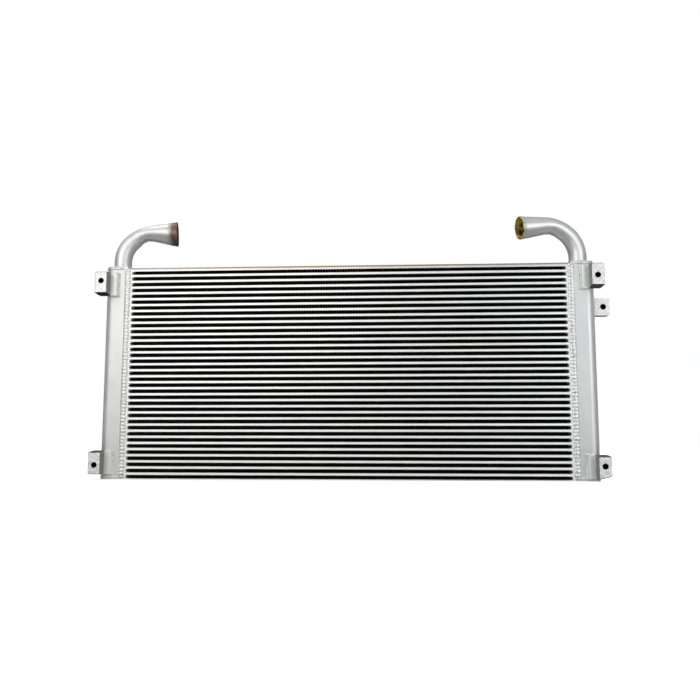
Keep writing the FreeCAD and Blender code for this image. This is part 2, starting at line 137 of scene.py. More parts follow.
def add_world():
    """A white backdrop, and a dim room that the metal mirrors: light overhead, dark low and behind."""
    world = bpy.data.worlds.new("studio")
    bpy.context.scene.world = world
    world.use_nodes = True
    nodes, links = world.node_tree.nodes, world.node_tree.links
    nodes.clear()
    backdrop = nodes.new("ShaderNodeBackground")
    backdrop.inputs["Color"].default_value = (*WHITE, 1.0)
    backdrop.inputs["Strength"].default_value = 1.0
    way = nodes.new("ShaderNodeTexCoord")
    parts = nodes.new("ShaderNodeSeparateXYZ")
    links.new(way.outputs["Generated"], parts.inputs[0])
    rise = nodes.new("ShaderNodeMapRange")
    rise.interpolation_type = "SMOOTHSTEP"
    links.new(parts.outputs["Z"], rise.inputs["Value"])
    set_range(rise, *ROOM_RISE, ROOM_LOW, ROOM_HIGH)
    behind = nodes.new("ShaderNodeMapRange")
    links.new(parts.outputs["Y"], behind.inputs["Value"])
    set_range(behind, *ROOM_DEPTH, 1.0, ROOM_BEHIND)
    strength = nodes.new("ShaderNodeMath")
    strength.operation = "MULTIPLY"
    links.new(rise.outputs[0], strength.inputs[0])
    links.new(behind.outputs[0], strength.inputs[1])
    room = nodes.new("ShaderNodeBackground")
    room.inputs["Color"].default_value = (*ROOM_TINT, 1.0)
    links.new(strength.outputs[0], room.inputs["Strength"])
    seen = nodes.new("ShaderNodeLightPath")
    mix = nodes.new("ShaderNodeMixShader")
    links.new(seen.outputs["Is Camera Ray"], mix.inputs[0])
    links.new(room.outputs[0], mix.inputs[1])
    links.new(backdrop.outputs[0], mix.inputs[2])
    out = nodes.new("ShaderNodeOutputWorld")
    links.new(mix.outputs[0], out.inputs["Surface"])


add_camera()
add_world()
for name, settings in SOFTBOXES.items():
    add_softbox(name, *settings)
bpy.context.scene.view_settings.view_transform = "Standard"


# Materials


class Finish:
    """A node material under construction, with short ways to add the usual textures."""

    def __init__(self, name, metallic, roughness):
        self.material = bpy.data.materials.new(name)
        self.material.use_nodes = True
        self.tree = self.material.node_tree
        self.shader = self.tree.nodes["Principled BSDF"]
        self.shader.inputs["Metallic"].default_value = metallic
        self.shader.inputs["Roughness"].default_value = roughness
        self.texture = self.tree.nodes.new("ShaderNodeTexCoord")
        self.place = self.texture.outputs["Object"]
        self.height = None

    def node(self, kind, **inputs):
        made = self.tree.nodes.new(kind)
        for name, value in inputs.items():
            self.feed(made.inputs[name.replace("_", " ")], value)
        return made

    def feed(self, socket, value):
        """Link an output to a socket, or set the socket's own value."""
        if isinstance(value, bpy.types.NodeSocket):
            self.tree.links.new(value, socket)
        else:
            socket.default_value = value

    def noise(self, scale, detail=3.0, roughness=0.5, stretch=(1, 1, 1), distortion=0.0, shift=0.0):
        """Noise over the object, drawn out along the axes where stretch is below 1."""
        spread = self.node(
            "ShaderNodeMapping", Vector=self.place, Scale=stretch, Location=(shift, shift, shift)
        )
        made = self.node(
            "ShaderNodeTexNoise",
            Vector=spread.outputs[0],
            Scale=scale,
            Detail=detail,
            Roughness=roughness,
            Distortion=distortion,
        )
        return made.outputs["Fac"]

    def remap(self, value, low, high, new_low, new_high):
        made = self.node("ShaderNodeMapRange", Value=value)
        set_range(made, low, high, new_low, new_high)
        return made.outputs[0]

    def maths(self, operation, first, second=0.0):
        made = self.tree.nodes.new("ShaderNodeMath")
        made.operation = operation
        self.feed(made.inputs[0], first)
        self.feed(made.inputs[1], second)
        return made.outputs[0]

    def blend(self, share, first, second):
        """Mix two colours. Each is an output or three numbers."""
        made = self.tree.nodes.new("ShaderNodeMix")
        made.data_type = "RGBA"
        self.feed(made.inputs["Factor"], share)
        for socket, colour in ((made.inputs[6], first), (made.inputs[7], second)):
            if not isinstance(colour, bpy.types.NodeSocket):
                colour = (*colour, 1.0)
            self.feed(socket, colour)
        return made.outputs[2]

    def mottle(self, value, low, high, first, second, most=1.0):
        """One colour that gives way to another, up to a share, as a value rises from low to high."""
        return self.blend(self.remap(value, low, high, 0.0, most), first, second)

    def axis(self, name):
        """One coordinate of the surface point, in metres."""
        return self.node("ShaderNodeSeparateXYZ", Vector=self.place).outputs[name]

    def hypotenuse(self, first, second):
        squares = [self.maths("MULTIPLY", side, side) for side in (first, second)]
        return self.maths("SQRT", self.maths("ADD", *squares))

    def along(self, origin, axis):
        """Distance of the surface point along an axis, from a point on it."""
        away = self.tree.nodes.new("ShaderNodeVectorMath")
        away.operation = "SUBTRACT"
        self.feed(away.inputs[0], self.place)
        self.feed(away.inputs[1], origin)
        dot = self.tree.nodes.new("ShaderNodeVectorMath")
        dot.operation = "DOT_PRODUCT"
        self.feed(dot.inputs[0], away.outputs[0])
        self.feed(dot.inputs[1], axis)
        return dot.outputs["Value"]

    def bump(self, height, depth):
        """Add relief of a real depth in metres on top of the relief so far."""
        made = self.node("ShaderNodeBump", Height=height, Strength=1.0, Distance=depth)
        if self.height is not None:
            self.tree.links.new(self.height, made.inputs["Normal"])
        self.height = made.outputs[0]
        self.tree.links.new(self.height, self.shader.inputs["Normal"])

    def colour(self, value):
        self.feed(self.shader.inputs["Base Color"], value)

    def rough(self, value):
        self.feed(self.shader.inputs["Roughness"], value)


def brushed_aluminium(name, light, dark, grain, roughness, metallic=0.65):
    """Satin metal with cloudy tone, fine grain along one way, faint scratches and handling marks."""
    finish = Finish(name, metallic, roughness)
    cloud = finish.noise(9.0, 4.0, 0.6)
    tone = finish.mottle(cloud, 0.3, 0.7, dark, light)
    streaks = finish.noise(420.0, 2.0, 0.6, grain)
    tone = finish.mottle(streaks, 0.35, 0.7, tone, WHITE, 0.16)
    marks = finish.noise(38.0, 5.0, 0.7, distortion=1.2, shift=3.0)
    tone = finish.mottle(marks, 0.62, 0.8, tone, (0.42, 0.42, 0.40), 0.25)
    finish.colour(tone)
    gloss = finish.maths("MULTIPLY", finish.remap(cloud, 0.25, 0.75, 0.86, 1.16), roughness)
    finish.rough(finish.maths("ADD", gloss, finish.remap(streaks, 0.3, 0.7, -0.05, 0.07)))
    finish.bump(streaks, 0.05 * MM)
    finish.bump(finish.noise(16.0, 2.0, 0.5), 1.2 * MM)
    return finish, tone


def tank_metal():
    light, dark = (0.76, 0.765, 0.75), (0.68, 0.69, 0.68)
    return brushed_aluminium("tank_aluminium", light, dark, (1, 1, 0.03), 0.42)[0].material


# How far from the middle the upper side plate's golden stain fades, and how far below its top the
# darker tone starts and is full.
GOLD_FADES = (0.28, 0.40)
EDGE_STARTS = 4.2 * MM
EDGE_FULL = 2.6 * MM


def plate_metal():
    """The core's side plates. The upper one's top is grey, and golden brown where the braze ran."""
    light, dark = (0.90, 0.90, 0.88), (0.76, 0.76, 0.74)
    finish, tone = brushed_aluminium("plate_aluminium", light, dark, (0.03, 1, 1), 0.40)
    patches = finish.noise(6.0, 3.0, 0.5, (1, 0.2, 0.2), shift=7.0)
    from_middle = finish.maths("ABSOLUTE", finish.axis("X"))
    ragged = finish.maths("ADD", from_middle, finish.remap(patches, 0.3, 0.7, -0.10, 0.10))
    golden = finish.remap(ragged, *GOLD_FADES, 1.0, 0.0)
    edge = finish.blend(golden, (0.26, 0.26, 0.25), (0.30, 0.16, 0.05))
    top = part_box("top_side_plate")[1].z
    finish.colour(finish.mottle(finish.axis("Z"), top - EDGE_STARTS, top - EDGE_FULL, tone, edge, 0.9))
    return finish.material


def sheet_metal():
    """The parting sheets' thin edges, dull with flux between the bright bars."""
    finish = Finish("sheet_aluminium", 0.4, 0.5)
    flux = finish.noise(34.0, 4.0, 0.7, (0.3, 1, 1))
    finish.colour(finish.mottle(flux, 0.35, 0.7, (0.09, 0.09, 0.088), (0.34, 0.34, 0.33)))
    finish.rough(finish.remap(flux, 0.3, 0.7, 0.4, 0.6))
    return finish.material


# Noise cells per metre of height, about one for each layer of the core.
LAYER_CELLS = 76.2


def bar_metal():
    """Bright bars, each layer of its own tone, with braze flux stains."""
    finish = Finish("bar_aluminium", 0.38, 0.36)
    layers = finish.noise(1.0, 0.0, 0.5, (0.9, 0.5, LAYER_CELLS))
    tone = finish.mottle(layers, 0.3, 0.7, (0.88, 0.89, 0.88), (0.98, 0.98, 0.98))
    stains = finish.noise(26.0, 4.0, 0.65, (0.5, 1, 3.0), 0.5, 2.0)
    finish.colour(finish.mottle(stains, 0.58, 0.78, tone, (0.52, 0.51, 0.48), 0.30))
    grain = finish.noise(500.0, 2.0, 0.6, (0.04, 1, 1))
    finish.rough(finish.remap(grain, 0.3, 0.7, 0.30, 0.44))
    finish.bump(grain, 0.06 * MM)
    finish.bump(finish.noise(60.0, 3.0, 0.5, (0.3, 1, 1)), 0.4 * MM)
    return finish.material


def fin_metal():
    """Thin fin sheet, nearly black as painted shade deep in the air passages, with a little grey dust."""
    finish = Finish("fin_black_painted_shade", 0.0, 0.7)
    dust = finish.noise(70.0, 4.0, 0.7)
    # Painted shade: the near-black base stands for the shade between the close folds.
    finish.colour(finish.mottle(dust, 0.45, 0.8, (0.004, 0.004, 0.004), (0.016, 0.016, 0.015)))
    finish.rough(finish.remap(dust, 0.3, 0.7, 0.6, 0.8))
    finish.shader.inputs["Specular IOR Level"].default_value = 0.12
    return finish.material


def turbulator_metal():
    finish = Finish("turbulator_aluminium", 1.0, 0.45)
    finish.colour(finish.blend(finish.noise(40.0), (0.52, 0.52, 0.50), (0.70, 0.70, 0.68)))
    return finish.material


def weld_metal():
    """Weld bead: bright ripple crests, with dark flecks of soot."""
    finish = Finish("weld_aluminium", 0.6, 0.33)
    fine = finish.noise(300.0, 4.0, 0.7)
    tone = finish.mottle(fine, 0.38, 0.62, (0.62, 0.62, 0.61), (0.98, 0.98, 0.98))
    soot = finish.noise(150.0, 3.0, 0.6, distortion=0.8, shift=5.0)
    finish.colour(finish.mottle(soot, 0.58, 0.68, tone, (0.16, 0.16, 0.15), 0.7))
    finish.rough(finish.remap(fine, 0.3, 0.7, 0.24, 0.46))
    finish.bump(fine, 0.4 * MM)
    return finish.material


# The left pipe's colours are a real reddish brown stain darkened nearly to black: painted shade on its
# mouth and bore.
STAIN_AND_SHADE_TONES = {
    "left": ((0.030, 0.010, 0.005), (0.20, 0.105, 0.06)),
    "right": ((0.060, 0.022, 0.003), (0.55, 0.43, 0.12)),
}


def stain_and_shade_colours(finish, side):
    """Reddish brown stain in the left pipe, darkened nearly to black as painted shade, brown to yellow
    stain in the right one, and the noise that mixes them.
    """
    cloud = finish.noise(40.0, 3.0, 0.6, distortion=0.8)
    return finish.mottle(cloud, 0.42, 0.56, *STAIN_AND_SHADE_TONES[side]), cloud


# Where the stain on a pipe's outside starts, from the middle of its hose end outwards, and its share.
STAIN_ON_SKIN = {"left": (-14 * MM, 0.9), "right": (0 * MM, 0.5)}
STAIN_FADE = 12 * MM
STAIN_RAGGED = 4 * MM


def pipe_metal(side):
    """Bright pipe, with brown stain that fades away from its hose end, darkened as painted shade in the
    left pipe.
    """
    light, dark = (0.96, 0.965, 0.95), (0.84, 0.85, 0.83)
    finish, tone = brushed_aluminium(f"{side}_pipe_aluminium", light, dark, (1, 1, 1), 0.44, 0.76)
    stain_and_shade, cloud = stain_and_shade_colours(finish, side)
    mount = MOUNTS[f"{side}_hose_end"]
    from_end = finish.along(mount["pos_m"], mount["axis"])
    rags = finish.remap(cloud, 0.3, 0.7, -STAIN_RAGGED, STAIN_RAGGED)
    start, most = STAIN_ON_SKIN[side]
    ragged = finish.maths("ADD", from_end, rags)
    finish.colour(finish.mottle(ragged, start, start + STAIN_FADE, tone, stain_and_shade, most))
    return finish.material


def mouth_metal(side):
    """A pipe's lip and bore, stained, and darkened as painted shade in the left pipe."""
    finish = Finish(f"{side}_stained_shaded_aluminium", 0.5, 0.42)
    tone, cloud = stain_and_shade_colours(finish, side)
    finish.colour(tone)
    finish.rough(finish.remap(cloud, 0.3, 0.7, 0.32, 0.56))
    finish.bump(finish.noise(300.0, 3.0), 0.1 * MM)
    return finish.material


# How deep the blind bolt holes are, which is how far their painted black shade reaches, and the
# distance over which that black and the flanks' painted shade fade.
LUG_HOLE_DEPTH = 24 * MM
TAB_HOLE_DEPTH = 14 * MM
FADE = 0.6 * MM


def block_metal(name, hole_distance, radius, depth, front, foot_end):
    """A block with a bright, speckled front, and painted shade on its tops, undersides and flanks towards
    the tank.

    The painted shade lies only farther than foot_end from the middle of the core, so that the foot on
    the tank stays bright. The blind bolt hole is painted black inside, as painted shade.
    """
    finish = Finish(name, 0.6, 0.42)
    fine = finish.noise(240.0, 4.0, 0.65)
    speckled = finish.mottle(fine, 0.4, 0.62, (0.66, 0.66, 0.65), (0.97, 0.97, 0.97))
    y = finish.axis("Y")
    face = finish.mottle(y, front + 1 * MM, front + 3 * MM, speckled, (0.84, 0.85, 0.84))
    # Painted shade: a dark colour for the flanks that face the tank, where shadow falls.
    painted_flank_shade = finish.mottle(fine, 0.35, 0.65, (0.10, 0.10, 0.10), (0.36, 0.36, 0.35))
    facing = finish.node("ShaderNodeSeparateXYZ", Vector=finish.texture.outputs["Normal"]).outputs
    from_middle = finish.maths("ABSOLUTE", finish.axis("X"))
    outwards = finish.maths("MULTIPLY", facing["X"], finish.maths("SIGN", finish.axis("X")))
    to_tank = finish.remap(outwards, -0.6, -0.3, 1.0, 0.0)
    level = finish.remap(finish.maths("ABSOLUTE", facing["Z"]), 0.3, 0.6, 0.0, 1.0)
    beyond_foot = finish.remap(from_middle, foot_end - FADE, foot_end, 0.0, 1.0)
    tone = finish.blend(finish.maths("MULTIPLY", to_tank, beyond_foot), face, painted_flank_shade)
    # Painted shade on tops and undersides, darkest on the undersides.
    shade = finish.mottle(facing["Z"], -0.3, 0.3, (0.04, 0.04, 0.04), (0.17, 0.17, 0.17))
    tone = finish.blend(finish.maths("MULTIPLY", level, beyond_foot), tone, shade)
    soil = finish.noise(60.0, 4.0, 0.7, distortion=0.6, shift=4.0)
    tone = finish.mottle(soil, 0.6, 0.75, tone, (0.30, 0.29, 0.27), 0.35)
    # Painted shade: the bolt hole's walls are painted black down to its depth, where shadow would fall.
    within = finish.remap(hole_distance(finish), radius, radius + FADE, 1.0, 0.0)
    hole_end = front + depth
    before_end = finish.remap(y, hole_end + 1 * MM, hole_end + 2 * MM, 1.0, 0.0)
    inside = finish.maths("MULTIPLY", within, before_end)
    finish.colour(finish.blend(inside, tone, (0.004, 0.004, 0.004)))
    finish.feed(finish.shader.inputs["Metallic"], finish.remap(inside, 0.0, 1.0, 0.6, 0.0))
    finish.rough(finish.remap(fine, 0.3, 0.7, 0.32, 0.55))
    finish.bump(fine, 0.3 * MM)
    return finish.material


def from_lug_bolts(finish):
    """Distance from the nearest of the four lug bolts' axes."""
    mount = MOUNTS["lug_bolts"]
    middle, dims = mount["pos_m"], mount["dims"]
    across = finish.maths("ABSOLUTE", finish.maths("SUBTRACT", finish.axis("X"), middle[0]))
    across = finish.maths("SUBTRACT", across, dims["spacing_x_mm"] / 2 * MM)
    height = finish.maths("ABSOLUTE", finish.maths("SUBTRACT", finish.axis("Z"), middle[2]))
    height = finish.maths("SUBTRACT", height, dims["spacing_y_mm"] / 2 * MM)
    return finish.hypotenuse(across, height)


def from_tab_bolt(finish):
    """Distance from the side tab's bolt axis."""
    middle = MOUNTS["side_tab_bolt"]["pos_m"]
    across = finish.maths("SUBTRACT", finish.axis("X"), middle[0])
    height = finish.maths("SUBTRACT", finish.axis("Z"), middle[2])
    return finish.hypotenuse(across, height)


TANK = tank_metal()
PLATE = plate_metal()
SHEET = sheet_metal()
BAR = bar_metal()
FIN = fin_metal()
TURBULATOR = turbulator_metal()
WELD = weld_metal()
PIPES = {side: pipe_metal(side) for side, _ in SIDES}
MOUTHS = {side: mouth_metal(side) for side, _ in SIDES}
LUG = block_metal(
    "lug_aluminium",
    from_lug_bolts,
    radius=MOUNTS["lug_bolts"]["dims"]["hole_r_mm"] * MM,
    depth=LUG_HOLE_DEPTH,
    front=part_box("upper_right_lug")[0].y,
    foot_end=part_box("upper_right_lug_weld")[1].x,
)
TAB = block_metal(
    "tab_aluminium",
    from_tab_bolt,
    radius=MOUNTS["side_tab_bolt"]["dims"]["r_mm"] * MM,
    depth=TAB_HOLE_DEPTH,
    front=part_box("side_tab")[0].y,
    foot_end=1 * MM,
)

SLOT_FINISH = {
    "core_plate": PLATE,
    "sheet": SHEET,
    "bar": BAR,
    "fin": FIN,
    "turbulator": TURBULATOR,
    "tank": TANK,
    "weld": WELD,
    "pipe": PIPES["left"],
    "lug": LUG,
}


def paint_nodes():
    """Give every CAD node the finish of its slot."""
    for subpart in frame["record"]["subparts"]:
        mesh = NODES[subpart["node"]].data
        mesh.materials.clear()
        mesh.materials.append(SLOT_FINISH[subpart["material_slot"]])
    NODES["side_tab"].data.materials[0] = TAB


# Meshes


def add_piece(name, points, faces, finishes, replaced=(), finish_of=None, smooth=True):
    """Make a mesh object in the row frame, tie it to the body, and hide the nodes it stands for."""
    points = np.asarray(points, float).reshape(-1, 3)
    faces = np.asarray(faces, int)
    mesh = bpy.data.meshes.new(name)
    mesh.vertices.add(len(points))
    mesh.vertices.foreach_set("co", points.astype(np.float32).ravel())
    mesh.loops.add(faces.size)
    mesh.loops.foreach_set("vertex_index", faces.astype(np.int32).ravel())
    mesh.polygons.add(len(faces))
    mesh.polygons.foreach_set("loop_start", np.arange(len(faces), dtype=np.int32) * faces.shape[1])
    for finish in finishes:
        mesh.materials.append(finish)
    if finish_of is not None:
        mesh.polygons.foreach_set("material_index", np.asarray(finish_of, np.int32))
    mesh.polygons.foreach_set("use_smooth", np.full(len(faces), smooth))
    mesh.update(calc_edges=True)
    mesh.validate()
    item = bpy.data.objects.new(name, mesh)
    bpy.context.scene.collection.objects.link(item)
    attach(item, "root")
    if replaced:
        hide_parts(*replaced)
    return item


def grid_faces(rows, columns, wrap_rows=False, wrap_columns=False):
    """Quads over a grid of points stored row by row."""
    row = np.arange(rows if wrap_rows else rows - 1)
    column = np.arange(columns if wrap_columns else columns - 1)
    row, column = np.meshgrid(row, column, indexing="ij")
    after_row, after_column = (row + 1) % rows, (column + 1) % columns
    corners = (
        row * columns + column,
        row * columns + after_column,
        after_row * columns + after_column,
        after_row * columns + column,
    )
    return np.stack(corners, axis=-1).reshape(-1, 4)


# Air fins

# FIN_WAVES waves of FIN_WAVE to each side run from front to back, over FIN_ROWS rows of points. Each
# layer is shifted by up to FIN_SHIFT_MM, so that the folds don't line up.
AIR_LAYERS = 35
AIR_HEIGHT = 7.2 * MM
LAYERS_PER_PIECE = 5
FIN_SPACING = 3.0 * MM
FIN_SHEET = 0.2 * MM
FIN_WAVE = 1.6 * MM
FIN_WAVES = 2.5
FIN_ROWS = 14
FIN_SHIFT_MM = 0.5
FIN_SEED = 11


def fin_section(length):
    """Upper and lower outline of one folded sheet across its folds, as rows of (x, height)."""
    folds = round(length / FIN_SPACING)
    stops = np.linspace(-length / 2, length / 2, folds + 1)
    half = FIN_SHEET / 2
    upper, lower = [], []
    for i in range(folds):
        grow = half if i % 2 == 0 else -half
        top = AIR_HEIGHT if i % 2 == 0 else FIN_SHEET
        for outline, spread, z in ((upper, grow, top), (lower, -grow, top - FIN_SHEET)):
            outline.append((stops[i] - spread, z))
            outline.append((stops[i + 1] + spread, z))
    return np.array(upper + lower[::-1])


def add_air_fins():
    """Wavy folded sheets, one in each air layer, that stand for the coarse sheets of the CAD part."""
    low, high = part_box("air_fins")
    pitch = (high.z - low.z - AIR_HEIGHT) / (AIR_LAYERS - 1)
    section = fin_section(high.x - low.x - 2 * FIN_WAVE)
    depth = np.linspace(low.y, high.y, FIN_ROWS)
    swing = FIN_WAVE * np.sin((depth - low.y) / (high.y - low.y) * 2 * math.pi * FIN_WAVES)
    rows, columns = len(depth), len(section)
    sheet = np.zeros((rows, columns, 3))
    sheet[:, :, 0] = section[None, :, 0] + swing[:, None]
    sheet[:, :, 1] = depth[:, None]
    sheet[:, :, 2] = section[None, :, 1]
    sheet = sheet.reshape(-1, 3)
    sides = grid_faces(rows, columns, wrap_columns=True)
    half = columns // 2
    strip = np.arange(half - 1)
    front = np.stack([strip, columns - 1 - strip, columns - 2 - strip, strip + 1], axis=-1)
    back = front[:, ::-1] + (rows - 1) * columns
    faces = np.vstack([sides, front, back])
    random = np.random.RandomState(FIN_SEED)
    for first in range(0, AIR_LAYERS, LAYERS_PER_PIECE):
        points, quads = [], []
        for i in range(first, min(first + LAYERS_PER_PIECE, AIR_LAYERS)):
            shift = (random.uniform(-FIN_SHIFT_MM, FIN_SHIFT_MM) * MM, 0.0, low.z + pitch * i)
            quads.append(faces + len(points) * len(sheet))
            points.append(sheet + np.array(shift))
        name = f"air_fins_{first // LAYERS_PER_PIECE + 1}"
        add_piece(name, np.vstack(points), np.vstack(quads), [FIN], ["air_fins"], smooth=False)


# Weld beads

# Rows of points per ripple, and points across a bead.
BEAD_STEPS = 8
BEAD_COLUMNS = 13
# Ripples vary in size by BEAD_VARIETY, and lie sideways by up to that share of BEAD_LEAN widths.
BEAD_VARIETY = 0.10
BEAD_LEAN = 0.12
# How far the bead's edge lies in the metal, and its underside below the edge, in rises of the bead.
BEAD_SINK = 0.06
BEAD_UNDERSIDE = 0.10
# Length of an open bead's rounded end, in widths.
BEAD_END = 0.45


def resample(path, step, closed):
    """Points at even steps along a path."""
    path = np.asarray(path, float)
    if closed:
        path = np.vstack([path, path[:1]])
    along = np.concatenate([[0.0], np.cumsum(np.linalg.norm(np.diff(path, axis=0), axis=1))])
    count = max(4, int(round(along[-1] / step)))
    stops = np.linspace(0.0, along[-1], count + 1)
    if closed:
        stops = stops[:-1]
    points = np.stack([np.interp(stops, along, path[:, k]) for k in range(3)], axis=-1)
    return points, stops


def add_bead(name, path, outward, width, rise, pitch, seed, replaced=(), closed=False):
    """A rippled bead on a path. outward is the way it bulges, at each point or the same for all."""
    points, stops = resample(path, pitch / BEAD_STEPS, closed)
    rows = len(points)
    if closed:
        ahead = np.roll(points, -1, axis=0) - np.roll(points, 1, axis=0)
    else:
        ahead = np.gradient(points, axis=0)
    ahead /= np.linalg.norm(ahead, axis=1)[:, None]
    normal = np.array([outward(p) for p in points]) if callable(outward) else np.tile(outward, (rows, 1))
    normal = normal / np.linalg.norm(normal, axis=1)[:, None]
    across = np.cross(ahead, normal)
    across /= np.linalg.norm(across, axis=1)[:, None]
    random = np.random.RandomState(seed)
    ripples = max(2, int(round(stops[-1] / pitch)))
    sizes = 1 + random.uniform(-BEAD_VARIETY, BEAD_VARIETY, ripples + 3)
    leans = random.uniform(-BEAD_VARIETY, BEAD_VARIETY, ripples + 3)
    v = np.linspace(-1.0, 1.0, BEAD_COLUMNS)
    phase = stops[:, None] / stops[-1] * ripples * ((rows - 1) / rows if closed else 1)
    phase = phase + 0.45 * v[None, :] ** 2
    turn = phase - np.floor(phase)
    index = np.clip(np.floor(phase).astype(int), 0, ripples + 2)
    bulge = np.sin(math.pi * turn) ** 0.55
    middle = BEAD_COLUMNS // 2
    reach = width / 2 * (0.84 + 0.16 * bulge[:, middle]) * sizes[index[:, middle]]
    dome = np.clip(1 - v[None, :] ** 2, 0.0, 1.0) ** 0.62
    height = rise * dome * (0.66 + 0.34 * bulge) * sizes[index]
    if not closed:
        end = np.minimum(stops, stops[-1] - stops) / (width * BEAD_END)
        taper = np.sqrt(np.clip(1 - (1 - np.clip(end, 0.0, 1.0)) ** 2, 0.0, 1.0))
        height *= taper[:, None]
        reach = reach * (0.25 + 0.75 * taper)
    side = v[None, :] * reach[:, None] + leans[index] * width * BEAD_LEAN
    top = points[:, None, :] + across[:, None, :] * side[:, :, None]
    top = top + normal[:, None, :] * (height[:, :, None] - rise * BEAD_SINK)
    under = top[:, [BEAD_COLUMNS - 1, 0], :] - normal[:, None, :] * rise * BEAD_UNDERSIDE
    ring = np.concatenate([top, under], axis=1)
    faces = grid_faces(rows, BEAD_COLUMNS + 2, wrap_rows=closed, wrap_columns=True)
    if not closed:
        for row in (0, rows - 1):
            centre = ring[row].mean(axis=0)
            ring[row] = centre + (ring[row] - centre) * 0.02
    add_piece(name, ring.reshape(-1, 3), faces, [WELD], replaced)


CORE_WELD_RIPPLE = 7.5 * MM
PIPE_WELD_RIPPLE = 4.5 * MM
FILLET_RIPPLE = 4.0 * MM


def add_core_welds():
    """The wide beads that join each tank to the core, front and back."""
    for seed, (side, _) in enumerate(SIDES, 20):
        for face, way in (("front", -1), ("back", 1)):
            node = f"{face}_{side}_weld"
            low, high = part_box(node)
            x = (low.x + high.x) / 2
            y = high.y if way < 0 else low.y
            path = [(x, y, low.z + 1 * MM), (x, y, high.z - 1 * MM)]
            width, rise = high.x - low.x, high.y - low.y
            add_bead(f"{node}_bead", path, (0, way, 0), width, rise, CORE_WELD_RIPPLE, seed, [node])


def add_pipe_welds():
    """The ring of weld round each pipe's foot."""
    for seed, (side, _) in enumerate(SIDES, 40):
        node = f"{side}_pipe_weld"
        low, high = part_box(node)
        x, y = (low.x + high.x) / 2, (low.y + high.y) / 2
        collar = high.z - low.z
        z = low.z + collar * 0.30
        radius = (high.x - low.x) / 2 - collar * 0.62
        angles = np.linspace(0, 2 * math.pi, 96, endpoint=False)
        path = [(x + radius * math.cos(a), y + radius * math.sin(a), z) for a in angles]

        def outward(point):
            return np.array([(point[0] - x) / radius, (point[1] - y) / radius, 1.0])

        width, rise = collar * 1.5, collar * 0.55
        add_bead(f"{node}_bead", path, outward, width, rise, PIPE_WELD_RIPPLE, seed, [node], True)


def outline_direction(point, low, high):
    """The way in a plane from a rectangle to a point beside it."""
    nearest = np.clip(point, low, high)
    away = np.asarray(point) - nearest
    return away / max(np.linalg.norm(away), 1e-9)


def add_lug_welds():
    """Fillet beads round the three free edges of each lug's foot."""
    seed = 60
    for side, sign in SIDES:
        for level in ("lower", "upper"):
            node = f"{level}_{side}_lug_weld"
            low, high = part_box(node)
            width = high.y - low.y
            inner, outer = (low.x, high.x) if sign > 0 else (high.x, low.x)
            edge = inner + sign * width * 0.8
            bottom, top = low.z + width * 0.8, high.z - width * 0.8
            foot_low = (min(inner + sign * width, outer), low.z + width)
            foot_high = (max(inner + sign * width, outer), high.z - width)
            y = high.y - width * 0.25
            path = [(outer, y, bottom), (edge, y, bottom), (edge, y, top), (outer, y, top)]

            def outward(point):
                x, z = outline_direction((point[0], point[2]), foot_low, foot_high)
                return np.array([x, -1.0, z])

            add_bead(f"{node}_bead", path, outward, width * 1.4, width * 0.5, FILLET_RIPPLE, seed, [node])
            seed += 1


def add_tab_weld():
    """The bead all round the side tab's root."""
    node = "side_tab_weld"
    low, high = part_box(node)
    width = high.x - low.x
    front, back = low.y + width * 0.8, high.y - width * 0.8
    bottom, top = low.z + width * 0.8, high.z - width * 0.8
    x = low.x + width * 0.25
    path = [(x, front, bottom), (x, back, bottom), (x, back, top), (x, front, top)]
    root_low, root_high = (low.y + width, low.z + width), (high.y - width, high.z - width)

    def outward(point):
        y, z = outline_direction((point[1], point[2]), root_low, root_high)
        return np.array([1.0, y, z])

    add_bead(f"{node}_bead", path, outward, width * 1.4, width * 0.5, FILLET_RIPPLE, 70, [node], True)


# The seams start CAP_INSET from the caps' inner ends. The lower ones are smaller, by LOWER_SHARE.
TANK_CORNER = 18 * MM
CAP_INSET = 9 * MM
SEAM_WIDTH = 6.5 * MM
SEAM_RISE = 1.6 * MM
SEAM_RIPPLE = 4.5 * MM
LOWER_SHARE = 0.6


def add_cap_seams():
    """The beads that close each cap to its tank, round the three sides away from the core."""
    seed = 80
    turns = np.linspace(0, math.pi / 2, 9)
    for side, sign in SIDES:
        for level in ("bottom", "top"):
            low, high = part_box(f"{side}_{level}_cap")
            inner, outer = (low.x, high.x) if sign > 0 else (high.x, low.x)
            start = inner + sign * CAP_INSET
            share = 1.0 if level == "top" else LOWER_SHARE
            z = high.z - SEAM_WIDTH * 0.65 if level == "top" else high.z
            middle_x = outer - sign * TANK_CORNER
            path = [(start, low.y, z)]
            for t in turns:
                x = middle_x + sign * TANK_CORNER * math.sin(t)
                path.append((x, low.y + TANK_CORNER * (1 - math.cos(t)), z))
            for t in turns[::-1]:
                x = middle_x + sign * TANK_CORNER * math.sin(t)
                path.append((x, high.y - TANK_CORNER * (1 - math.cos(t)), z))
            path.append((start, high.y, z))
            past_core = start - sign * 1.0
            flat_low = (min(middle_x, past_core), low.y + TANK_CORNER)
            flat_high = (max(middle_x, past_core), high.y - TANK_CORNER)

            def outward(point):
                x, y = outline_direction((point[0], point[1]), flat_low, flat_high)
                return np.array([x, y, 0.0])

            width, rise = SEAM_WIDTH * share, SEAM_RISE * share
            add_bead(f"{side}_{level}_cap_seam", path, outward, width, rise, SEAM_RIPPLE, seed)
            seed += 1


# Pipes

BEND_RADIUS = 68 * MM
PIPE_WALL = 3 * MM
PIPE_COLUMNS = 96
# Length of each pipe's cone and the mouth's radius.
CONES = {"left": (60 * MM, 27.7 * MM), "right": (62 * MM, 24.9 * MM)}
# How softly a cone starts, and its lip's rise, place before the mouth and width.
CONE_SOFTNESS = 1.2 * MM
LIP_RISE = 0.6 * MM
LIP_PLACE = 2.0 * MM
LIP_WIDTH = 1.6 * MM
